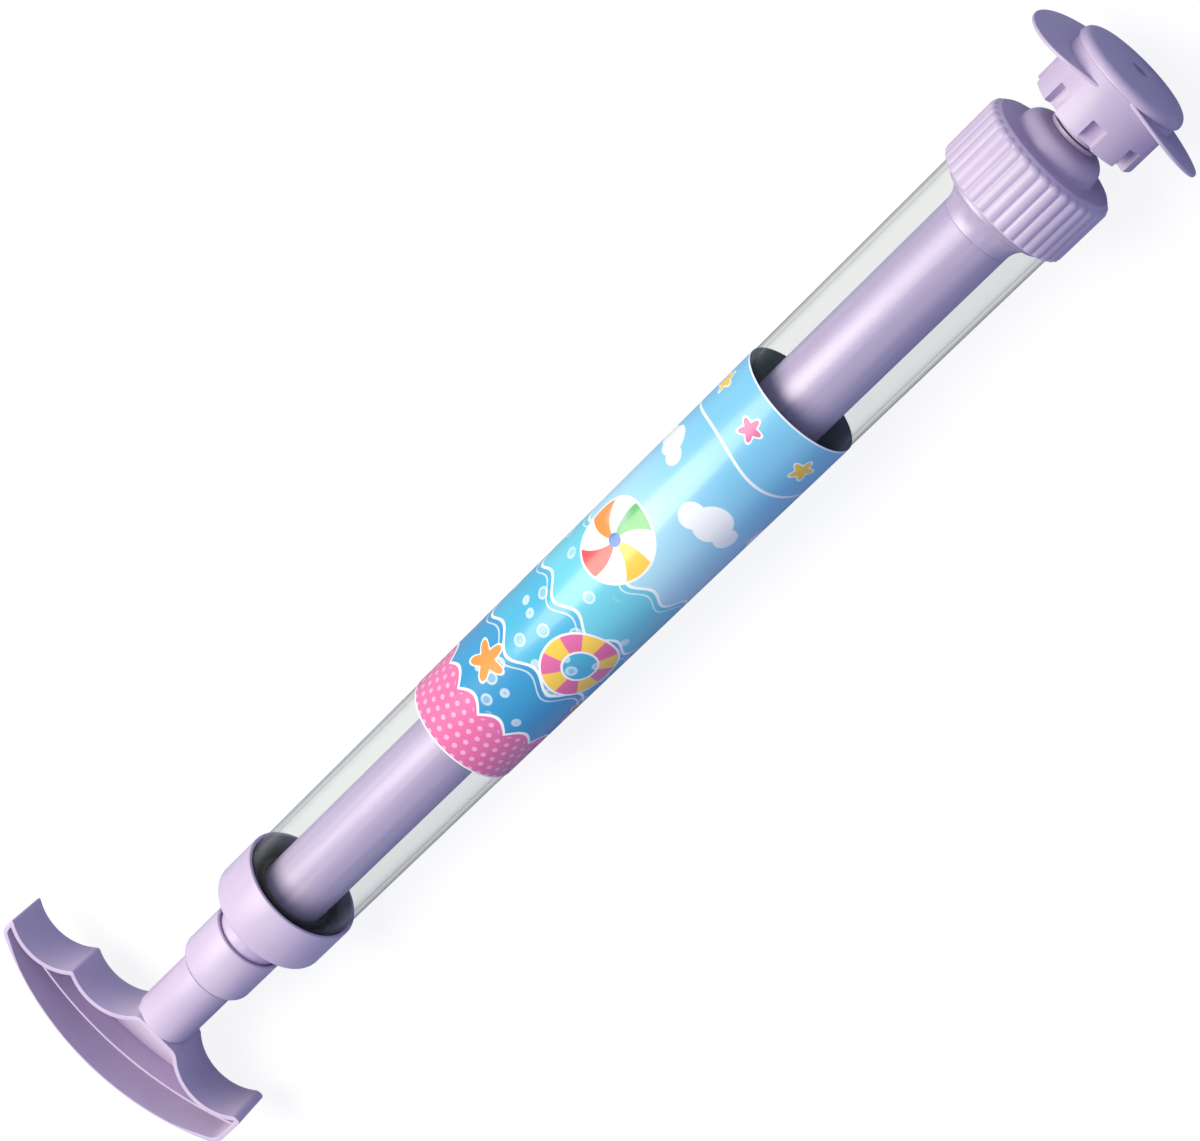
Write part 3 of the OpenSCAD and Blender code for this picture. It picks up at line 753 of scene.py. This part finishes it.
rearCap = {"rearRound": 1.4, "lip": 0.45, "skirtBore": 19.3, "skirtRound": 0.27, "seatRound": 0.2,
           "hole": 12.1, "holeRound": 0.6, "holeSeat": 0.3}
guideBush = {"bore": 11.75, "outer": 17.45, "shoulder": 1.4, "lipOuter": 15.9, "grooveDepth": 2.2,
             "grooveTop": 14.9, "grooveFoot": 13.0, "grooveLean": 0.5, "edge": 0.35}


def makeRearCap():
    rear, front, radius = reach("rear_cap")
    seat = reach("barrel_tube")[0]
    bore, hole = rearCap["skirtBore"], rearCap["hole"]
    corners = [(rear, radius, rearCap["rearRound"]), (front, radius, rearCap["lip"]),
               (front, bore, rearCap["skirtRound"]), (seat, bore, rearCap["seatRound"]),
               (seat, hole, rearCap["holeSeat"]), (rear, hole, rearCap["holeRound"])]
    cap = turnedPiece("rearCap", corners)
    finishPiece(cap, "rear_cap", "barrel", lavenderPlastic)


def makeGuideBush():
    rear, front, _ = reach("guide_bush")
    outer, bore, lean = guideBush["outer"], guideBush["bore"], guideBush["grooveLean"]
    groove, top, foot = front - guideBush["grooveDepth"], guideBush["grooveTop"], guideBush["grooveFoot"]
    outline = [(rear, outer), (front - guideBush["shoulder"], outer), (front, guideBush["lipOuter"]),
               (front, top), (groove, top - lean), (groove, foot + lean), (front, foot), (front, bore),
               (rear, bore)]
    ring = turnedPiece("guideBush", [(*place, guideBush["edge"]) for place in outline])
    # the bush is drawn near-black, as painted shade inside the rear cap
    finishPiece(ring, "guide_bush", "barrel", bushShadeRubber)


# Rod, piston and collar

rod = {"radius": 11.4, "bore": 10.15, "edge": 0.3}
piston = {"length": 12.2, "flareRound": 7.6, "flareCorner": 6.1, "rearRound": 0.25, "frontRound": 0.6,
          "grooveFoot": 14.74, "grooveWidth": 3.3, "grooveEdge": 0.15, "grooveRound": 0.2, "ringInset": 3.1,
          "screwHole": 2.05, "headHole": 4.05, "headDepth": 2.6, "headRound": 0.3, "seatRound": 0.1,
          "spigot": 10.1, "spigotRound": 0.4}
collar = {"shoulder": 2.6, "lip": 0.5, "mouthRadius": 11.95, "mouthDepth": 1.6, "rodSeat": 11.45,
          "stemSeat": 10.15, "edge": 0.12}


def makeRod():
    rear, front, _ = reach("rod_tube")
    tube = plainTube("rodTube", rear, front, rod["radius"], rod["bore"], rod["edge"])
    finishPiece(tube, "rod_tube", "plunger", pearlLavender)


def makePiston():
    rear, front, land = reach("piston_head")
    rodFront = reach("rod_tube")[1]
    bodyRear = front - piston["length"]
    half, foot = piston["grooveWidth"] / 2, piston["grooveFoot"]
    edge, rounding = piston["grooveEdge"], piston["grooveRound"]
    corners = [(rear, piston["spigot"], piston["spigotRound"]), (rodFront, piston["spigot"]),
               (rodFront, rod["radius"]),
               (rodFront + piston["flareCorner"], rod["radius"], piston["flareRound"]),
               (bodyRear, land, piston["rearRound"])]
    for middle in (bodyRear + piston["ringInset"], front - piston["ringInset"]):
        corners += [(middle - half, land, edge), (middle - half, foot, rounding),
                    (middle + half, foot, rounding), (middle + half, land, edge)]
    seat = front - piston["headDepth"]
    corners += [(front, land, piston["frontRound"]), (front, piston["headHole"], piston["headRound"]),
                (seat, piston["headHole"], piston["seatRound"]), (seat, piston["screwHole"]),
                (rear, piston["screwHole"])]
    head = turnedPiece("pistonHead", corners)
    finishPiece(head, "piston_head", "plunger", pearlLavender)


def makeCollar():
    rear, front, radius = reach("rod_collar")
    rodRear = reach("rod_tube")[0]
    mouth, mouthRadius, edge = front - collar["mouthDepth"], collar["mouthRadius"], collar["edge"]
    corners = [(rear, radius, collar["shoulder"]), (front, radius, collar["lip"]), (front, mouthRadius, edge),
               (mouth, mouthRadius, edge), (mouth, collar["rodSeat"]), (rodRear, collar["rodSeat"]),
               (rodRear, collar["stemSeat"]), (rear, collar["stemSeat"], edge)]
    ring = turnedPiece("rodCollar", corners)
    finishPiece(ring, "rod_collar", "plunger", lavenderPlastic)


# Handle grip: crescent with finger scallops, hollow from above, with a brace and the stem in one piece

grip = {
    "depth": 28.7, "thickness": 18.3, "palmRadius": 92.4, "palmShift": 9.6,
    "longArm": 57.597, "longRound": 4.0, "longTip": 8.9,
    "shortArm": 40.998, "shortRound": 6.0, "shortTip": 0.8,
    "scallop": 18.0, "outerScallop": (4.8, 45.9), "innerScallop": (9.0, 22.2), "shortScallop": (11.2, -24.9),
    "tipRound": 1.5, "cornerRound": 0.9, "flatRound": 1.6, "edge": 0.24,
    "wall": 1.5, "floor": 3.4, "palmRim": 0.55, "palmFoot": 2.0, "palmFade": 14.0,
    "fillet": 2.0, "filletSteps": 4, "cutOver": 2.0,
}
brace = {"thickness": 0.9, "radius": 128.0, "setback": 20.2, "shift": 15.2, "drop": 4.6, "foot": 0.5,
         "sink": 0.4, "edge": 0.42, "cutOver": 1.0}
stem = {"radius": 10.1, "neck": 9.0, "bore": 7.9, "boreRound": 0.3, "sink": 4.4, "edge": 0.6,
        "rearRound": 0.75, "overlap": 0.4, "trimReach": 30.0}


def chordHalf(radius, away):  # half of the chord that lies this far from a circle's middle
    return math.sqrt(radius ** 2 - away ** 2)


def circlesMeet(first, second, radius):
    step = second - first
    across = Vector((-step.y, step.x)).normalized()
    return (first + second) / 2 + across * chordHalf(radius, step.length / 2)


def gripMiddles():
    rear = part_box("handle_grip")[0][0] / mm
    front = rear + grip["depth"]
    palm = Vector((rear + grip["palmRadius"], grip["palmShift"]))
    tips = []
    for end, rounding in ((grip["longArm"], grip["longRound"]), (-grip["shortArm"], grip["shortRound"])):
        across = end - math.copysign(rounding, end) - palm.y
        tips.append(Vector((palm.x - chordHalf(grip["palmRadius"] - rounding, across), palm.y + across)))
    return front, palm, tips


def roundCorners(piece, places, size):
    bpy.ops.mesh.select_all(action="DESELECT")
    bpy.ops.object.mode_set(mode="OBJECT")
    for vertex in piece.data.vertices:
        place = Vector(vertex.co[:2]) / mm
        vertex.select = any((place - corner).length < modelling["sameSpot"] for corner in places)
    bpy.ops.object.mode_set(mode="EDIT")
    bpy.ops.mesh.bevel(offset=size * mm, segments=modelling["cornerSteps"], affect="VERTICES")
    selectAll()


def gripOutline(name, inset):
    front, palm, (longTip, shortTip) = gripMiddles()
    palmRadius = grip["palmRadius"] - inset
    onPalm = [palm + (middle - palm).normalized() * palmRadius for middle in (longTip, shortTip)]
    outer, inner, short = [Vector((front + ahead, across)) for ahead, across in
                           (grip["outerScallop"], grip["innerScallop"], grip["shortScallop"])]
    scallop = grip["scallop"] + inset
    longEnd, shortEnd = grip["longArm"] - inset, inset - grip["shortArm"]
    flatFront, shortFront = front - inset, front - inset - grip["shortTip"]
    start = Vector((outer.x - chordHalf(scallop, longEnd - outer.y), longEnd))
    if inset == 0.0:
        start.x = front - grip["longTip"]
    shortEdge = Vector((shortFront, short.y - chordHalf(scallop, short.x - shortFront)))
    flat = [Vector((flatFront, short.y + chordHalf(scallop, short.x - flatFront))),
            Vector((flatFront, inner.y - chordHalf(scallop, inner.x - flatFront)))]
    peak = circlesMeet(inner, outer, scallop)
    pen = Pen(name, start, upright=False)
    pen.line((longTip.x, longEnd))
    pen.arc(longTip, onPalm[0])
    pen.arc(palm, onPalm[1])
    pen.arc(shortTip, (shortTip.x, shortEnd))
    pen.line((shortFront, shortEnd))
    pen.line(shortEdge)
    pen.arc(short, flat[0])
    pen.line(flat[1])
    pen.arc(inner, peak)
    pen.arc(outer, start)
    mergePoints(modelling["outlineGap"])
    bpy.ops.mesh.edge_face_add()
    if inset == 0.0:
        roundCorners(pen.piece, [start], grip["tipRound"])
        roundCorners(pen.piece, [Vector((shortFront, shortEnd)), shortEdge, peak], grip["cornerRound"])
    roundCorners(pen.piece, flat, grip["flatRound"])
    return pen.piece


def raiseOutline(name, inset, heights):  # a block on the grip's outline, with a ring of points at each height
    block = gripOutline(name, inset)
    bpy.ops.transform.translate(value=(0, 0, heights[0] * mm))
    for low, high in zip(heights, heights[1:]):
        extrudeUp(high - low)
    closeShell()
    return block


def makeHollow(floor, top):
    _, palm, tips = gripMiddles()
    fillet, wall = grip["fillet"], grip["wall"]
    turns = [math.pi / 2 * step / grip["filletSteps"] for step in range(grip["filletSteps"] + 1)]
    heights = [floor + fillet * (1.0 - math.cos(turn)) for turn in turns] + [top, top + grip["cutOver"]]
    hollow = raiseOutline("gripHollow", wall, heights)
    ends = [(tip - palm).normalized() for tip in tips]
    for vertex in hollow.data.vertices:  # the palm wall leans, and its foot is filleted
        place = Vector(vertex.co[:2]) / mm
        away = (place - palm).normalized()
        if abs((place - palm).length - grip["palmRadius"] + wall) > modelling["sameSpot"]:
            continue
        share = min(1.0, min(away.angle(end) for end in ends) * grip["palmRadius"] / grip["palmFade"])
        rise = vertex.co.z / mm - floor
        lean = max(0.0, (rise - fillet) / (top - floor - fillet))
        thickness = grip["palmFoot"] + (grip["palmRim"] - grip["palmFoot"]) * min(1.0, lean)
        thickness += fillet - math.sqrt(max(0.0, fillet ** 2 - max(0.0, fillet - rise) ** 2))
        place += away * (wall - thickness) * share * share * (3.0 - 2.0 * share)
        vertex.co.x, vertex.co.y = place * mm
    return hollow


def makeBrace(front, low, high):
    middle = Vector((front - brace["setback"] + brace["radius"], brace["shift"]))

    def onCurve(radius, across):
        return Vector((middle.x - chordHalf(radius, across - middle.y), across))

    inner = brace["radius"] - brace["thickness"]
    pen = Pen("gripBrace", onCurve(brace["radius"], grip["longArm"]), upright=False)
    pen.arc(middle, onCurve(brace["radius"], -grip["shortArm"]))
    pen.line(onCurve(inner, -grip["shortArm"]))
    pen.arc(middle, onCurve(inner, grip["longArm"]))
    mergePoints(modelling["outlineGap"])
    bpy.ops.mesh.edge_face_add()
    bpy.ops.transform.translate(value=(0, 0, low * mm))
    extrudeUp(high - low)
    closeShell()
    softenEdges(pen.piece, brace["edge"])
    limit = raiseOutline("braceLimit", brace["sink"], [low - brace["cutOver"], high + brace["cutOver"]])
    combine(pen.piece, limit, "INTERSECT")
    return pen.piece


def makeStem(front):
    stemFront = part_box("handle_grip")[1][0] / mm
    sunk = front - stem["sink"]
    bore, boreRound = stem["bore"], stem["boreRound"]
    corners = [(sunk, 0.0), (sunk, stem["neck"]), (front, stem["neck"]),
               (front, stem["radius"], stem["rearRound"]), (stemFront, stem["radius"], stem["edge"]),
               (stemFront, bore, boreRound), (front, bore, boreRound), (front, 0.0)]
    tube = turnedPiece("gripStem", corners, closed=False)
    trim = raiseOutline("stemTrim", grip["wall"] - stem["overlap"], [-stem["trimReach"], stem["trimReach"]])
    combine(tube, trim, "DIFFERENCE")
    return tube


def makeGrip():
    front, _, _ = gripMiddles()
    top = grip["thickness"] / 2
    floor = grip["floor"] - top
    block = raiseOutline("handleGrip", 0.0, [-top, top])
    combine(block, makeHollow(floor, top), "DIFFERENCE")
    softenEdges(block, grip["edge"])
    parts = [block, makeBrace(front, floor - brace["foot"], top - brace["drop"]), makeStem(front)]
    finishPiece(joinPieces(*parts), "handle_grip", "plunger", lavenderPlastic)


# Screw cap: ribbed skirt and rounded boss

screwCap = {"bossHeight": 6.3, "bossRadius": 13.2, "bossRound": 5.0, "bossFoot": 0.8, "bossWall": 2.8,
            "chamfer": 1.6, "frontWall": 2.4, "innerRound": 0.2, "bore": 19.75, "edge": 0.4, "steps": 180,
            "spindleHole": 4.55, "spindleRound": 0.3}
capRib = {"count": 36, "radius": 2.6, "depth": 0.55, "rear": 0.25, "rearRound": 0.6, "front": 0.7,
          "frontRound": 1.9, "sink": 0.95, "play": 0.004, "steps": 28}


def makeRibs(rear, front, crest):
    radius = capRib["radius"]
    rib = turnedPiece("capRib", [(rear, 0.0), (rear, radius, capRib["rearRound"]),
                                 (front, radius, capRib["frontRound"]), (front, 0.0)],
                      closed=False, steps=capRib["steps"])
    foot = crest - capRib["depth"] - capRib["sink"]
    bpy.ops.object.mode_set(mode="EDIT")
    selectAll()
    bpy.ops.transform.translate(value=(0, 0, (crest - capRib["play"] - radius) * mm))
    bpy.ops.mesh.bisect(plane_co=(0, 0, foot * mm), plane_no=(0, 0, 1), clear_inner=True, use_fill=True)
    closeShell()
    return ringOf(rib, capRib["count"])


def makeScrewCap():
    rear, front, crest = reach("screw_cap")
    boss, bore, hole = screwCap["bossRadius"], screwCap["bore"], screwCap["spindleHole"]
    chamfer, edge = screwCap["chamfer"], screwCap["edge"]
    face = front - screwCap["bossHeight"]
    core = crest - capRib["depth"]
    ceiling, inner = front - screwCap["bossWall"], face - screwCap["frontWall"]
    hollow = boss - screwCap["bossWall"]
    corners = [(rear, core, edge), (face - chamfer, core, edge), (face, core - chamfer, edge),
               (face, boss, screwCap["bossFoot"]), (front, boss, screwCap["bossRound"]),
               (front, hole, screwCap["spindleRound"]), (ceiling, hole), (ceiling, hollow, edge),
               (inner, hollow, screwCap["innerRound"]), (inner, bore, edge), (rear, bore, edge)]
    shell = turnedPiece("screwCap", corners, steps=screwCap["steps"])
    ribs = makeRibs(rear + capRib["rear"], face - capRib["front"], crest)
    finishPiece(joinPieces(shell, ribs), "screw_cap", "cap", lavenderPlastic)


# Spinner: notched drum with two wings, closed by a domed disc with the outlet

drum = {"rimRadius": 17.5, "rearRim": 2.95, "bore": 12.9, "hub": 7.2, "shaft": 4.58, "webFront": 2.0,
        "web": 2.2, "edge": 0.5, "frontRound": 0.3, "shaftRound": 0.2, "discGap": 0.05}
notch = {"count": 8, "turn": 11.0, "width": 5.2, "length": 6.5, "depth": 3.2, "edge": 0.3, "steps": 2,
         "cutOver": 2.0}
wing = {"span": 59.6, "width": 34.0, "thickness": 1.1, "root": 4.0, "pitch": 5.0, "lean": 8.0, "setback": 1.1,
        "edge": 0.4, "edgeAngle": 60.0, "cutRear": 8.0, "cutFront": 4.0, "boreGap": 1.5}
disc = {"edgeRound": 2.5, "domeDrop": 1.14, "domeMiddle": 0.34, "domeShare": 0.5, "domeRound": 60.0,
        "outlet": 2.5, "outletRound": 0.6, "pocket": 6.85, "pocketDepth": 1.0, "pocketRound": 0.2,
        "spigot": (10.85, 12.85), "spigotHeight": 1.6, "edge": 0.25}


def makeWing(front):
    half = wing["width"] / 2
    tip = wing["span"] / (2 * math.cos(math.radians(wing["lean"]))) - half
    pen = Pen("spinnerWing", (-half, wing["root"]), upright=False)
    pen.line((-half, tip))
    pen.arc((0, tip), (0, tip + half))
    pen.arc((0, tip), (half, tip))
    pen.line((half, wing["root"]))
    selectAll()
    bpy.ops.mesh.edge_face_add()
    bpy.ops.transform.translate(value=(0, 0, -wing["thickness"] / 2 * mm))
    extrudeUp(wing["thickness"])
    closeShell()
    softenEdges(pen.piece, wing["edge"], angle=wing["edgeAngle"])
    place = Matrix.Translation(((front - wing["setback"]) * mm, 0, 0))
    pen.piece.data.transform(place @ turnMatrix(wing["lean"], "Z") @ turnMatrix(90.0 - wing["pitch"], "Y"))
    return pen.piece


def makeWings(front):
    blade = makeWing(front)
    wings = joinPieces(blade, copyPiece(blade, turnMatrix(180.0, "X")))
    cutRear, cutFront = front - wing["cutRear"], front + wing["cutFront"]
    radius = drum["bore"] + wing["boreGap"]
    bore = turnedPiece("wingCutter", [(cutRear, 0.0), (cutRear, radius), (cutFront, radius), (cutFront, 0.0)],
                       closed=False)
    combine(wings, bore, "DIFFERENCE")
    return wings


def makeNotchCutter(rear):
    bpy.ops.object.select_all(action="DESELECT")
    bpy.ops.mesh.primitive_cube_add(size=1.0)
    block = bpy.context.object
    over = notch["cutOver"]
    size = Vector((notch["length"] + over, notch["width"], notch["depth"] + over))
    place = Vector((rear - over + size.x / 2, 0, drum["rimRadius"] - notch["depth"] + size.z / 2))
    bpy.ops.object.mode_set(mode="EDIT")
    selectAll()
    bpy.ops.transform.resize(value=size * mm)
    bpy.ops.transform.translate(value=place * mm)
    bpy.ops.mesh.bevel(offset=notch["edge"] * mm, segments=notch["steps"], affect="EDGES")
    closeShell()
    return ringOf(block, notch["count"], notch["turn"])


def makeDrum():
    hubRear, _, _ = reach("spinner_drum")
    front = reach("spinner_disc")[0] + disc["spigotHeight"] - drum["discGap"]
    rear = hubRear + drum["rearRim"]
    rim, bore, hub, shaft = drum["rimRadius"], drum["bore"], drum["hub"], drum["shaft"]
    edge, frontRound, shaftRound = drum["edge"], drum["frontRound"], drum["shaftRound"]
    webFront = front - drum["webFront"]
    webRear = webFront - drum["web"]
    corners = [(rear, rim, edge), (front, rim, frontRound), (front, bore, frontRound),
               (webFront, bore, frontRound), (webFront, shaft, shaftRound), (hubRear, shaft, shaftRound),
               (hubRear, hub, edge), (webRear, hub, edge), (webRear, bore, edge), (rear, bore, edge)]
    shell = turnedPiece("spinnerDrum", corners)
    combine(shell, makeNotchCutter(rear), "DIFFERENCE")
    spinner = joinPieces(shell, makeWings(front))
    finishPiece(spinner, "spinner_drum", "spinner", lavenderPlastic)


def makeDisc():
    spigotRear, front, radius = reach("spinner_disc")
    rear = spigotRear + disc["spigotHeight"]
    inner, outer = disc["spigot"]
    edge, pocket, pocketRound = disc["edge"], rear + disc["pocketDepth"], disc["pocketRound"]
    corners = [(rear, radius, edge), (front - disc["domeDrop"], radius, disc["edgeRound"]),
               (front - disc["domeMiddle"], radius * disc["domeShare"], disc["domeRound"]),
               (front, disc["outlet"], disc["outletRound"]), (pocket, disc["outlet"], pocketRound),
               (pocket, disc["pocket"], pocketRound), (rear, disc["pocket"], pocketRound), (rear, inner),
               (spigotRear, inner, edge), (spigotRear, outer, edge), (rear, outer)]
    face = turnedPiece("spinnerDisc", corners)
    finishPiece(face, "spinner_disc", "spinner", lavenderPlastic)


makeBarrel()
makeSleeve()
makeRearCap()
makeGuideBush()
makeRod()
makePiston()
makeCollar()
makeGrip()
makeScrewCap()
makeDrum()
makeDisc()
print("pieces modelled")

innerFinishes = {
    "rod_plug": lavenderPlastic, "piston_screw": steel, "piston_ring_front": blackRubber,
    "piston_ring_rear": blackRubber, "cap_gasket": blackRubber, "nozzle_spindle": lavenderPlastic,
    "spindle_seal": blackRubber, "thrust_washer": lavenderPlastic, "retaining_clip": steel,
}
for nodeName, finish in innerFinishes.items():
    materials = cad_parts[nodeName].data.materials
    materials.clear()
    materials.append(finish)
print("finishes given to", len(innerFinishes), "inner pieces")


# Floor and light

studio = {
    "floorHeight": -21.45,  # mm, just under the screw cap
    "floorSize": 24.0,  # m, and so are the places and sizes of the lamps
    "floorTone": (0.31, 0.34, 0.46, 1.0),
    "seenTone": (0.17, 0.17, 0.17, 1.0),
    "seenGlow": 0.87,
    "world": (0.262, 0.292, 0.478, 1.0),
    "backdrop": (1.0, 1.0, 1.0, 1.0),
}
keyLamp = {"place": (-0.38, 0.76, 1.09), "size": 1.2, "power": 25.5, "tone": (1.0, 0.97, 0.77)}
fillLamp = {"place": (0.1, -0.9, 0.7), "size": 0.8, "power": 0.6, "tone": (0.95, 0.95, 1.0)}


def addFloor():
    bpy.ops.mesh.primitive_plane_add(size=studio["floorSize"], location=(0, 0, studio["floorHeight"] * mm))
    floor = bpy.context.object
    floor.name = "studioFloor"
    material, wire = newMaterial("studioFloor")
    direct = wire.node("ShaderNodeLightPath", {}, {}, out="Is Camera Ray")
    seen = wire.calc("MINIMUM", direct + direct.out("Is Transmission Ray"), 1.0)
    plain = wire.node("ShaderNodeBsdfDiffuse", {}, {"Color": studio["floorTone"]})
    paper = wire.node("ShaderNodeBsdfDiffuse", {}, {"Color": studio["seenTone"]})
    glow = wire.node("ShaderNodeEmission", {}, {"Strength": studio["seenGlow"]})
    lit = wire.node("ShaderNodeAddShader", {}, {0: paper, 1: glow})
    show(wire, wire.node("ShaderNodeMixShader", {}, {0: seen, 1: plain, 2: lit}))
    floor.data.materials.append(material)


def addLamp(name, settings):
    bpy.ops.object.light_add(type="AREA", location=settings["place"])
    lamp = bpy.context.object
    lamp.name = name
    lamp.data.shape = "DISK"
    lamp.data.size = settings["size"]
    lamp.data.energy = settings["power"]
    lamp.data.color = settings["tone"]
    lamp.rotation_euler = Vector(settings["place"]).to_track_quat("Z", "Y").to_euler()


def addWorld():
    world = bpy.data.worlds.new("studioWorld")
    world.use_nodes = True
    world.node_tree.nodes.clear()
    wire = Wire(world.node_tree)
    sky = wire.node("ShaderNodeBackground", {}, {"Color": studio["world"]})
    paper = wire.node("ShaderNodeBackground", {}, {"Color": studio["backdrop"]})
    seen = wire.node("ShaderNodeLightPath", {}, {}, out="Is Camera Ray")
    backdrop = wire.node("ShaderNodeMixShader", {}, {0: seen, 1: sky, 2: paper})
    wire.node("ShaderNodeOutputWorld", {}, {"Surface": backdrop})
    scene.world = world


addFloor()
addWorld()
addLamp("keyLamp", keyLamp)
addLamp("fillLamp", fillLamp)
print("floor and light set")
